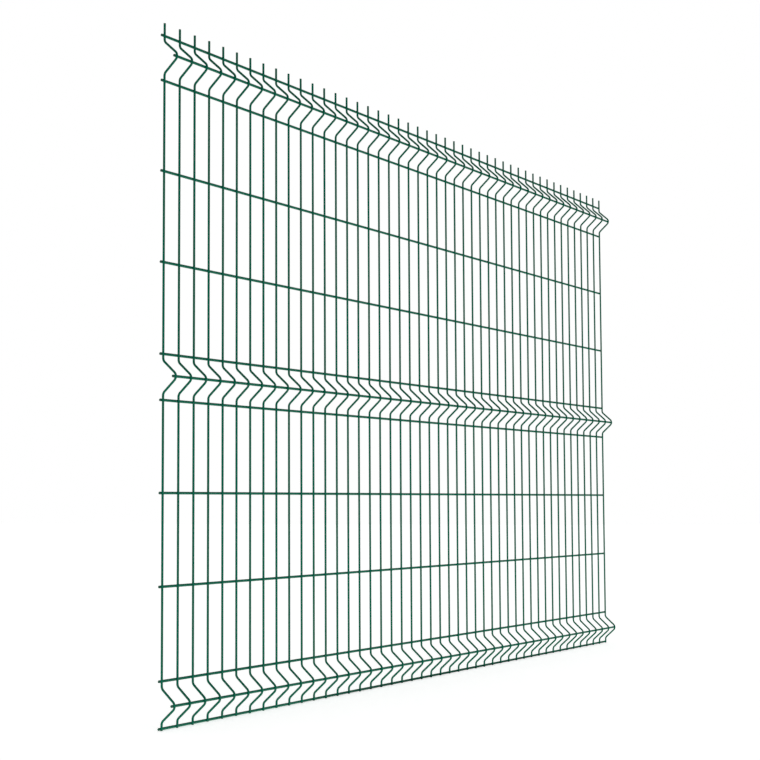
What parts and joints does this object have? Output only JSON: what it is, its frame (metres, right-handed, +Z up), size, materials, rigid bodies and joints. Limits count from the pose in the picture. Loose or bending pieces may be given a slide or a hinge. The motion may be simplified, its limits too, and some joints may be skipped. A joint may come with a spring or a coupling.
{
  "type": "welded mesh fence panel",
  "caption": "Flat welded wire fence panel with tall meshes, stiffened by V-shaped folds at top, middle and bottom, with bare wire ends standing above the top crosswire",
  "frame": {"origin": "On the back face of the lowest crosswire, at its mid height, straight behind the first upright: the lowest place where the panel bears on its first post.", "axes": "+Z up, +X along the panel from the first upright to the last, +Y towards the posts; the folds' noses point to -Y. The back faces of the flat crosswires lie in the plane Y = 0."},
  "size_m": [2.484, 0.0437, 1.5298],
  "materials": {
    "powder_coat": "moss green polyester powder coat, semi-gloss, over galvanised steel wire"
  },
  "bodies": {
    "root": {"bottom_fold": "powder_coat", "lower_field": "powder_coat", "middle_fold": "powder_coat", "upper_field": "powder_coat", "top_fold": "powder_coat"}
  },
  "joints": []
}
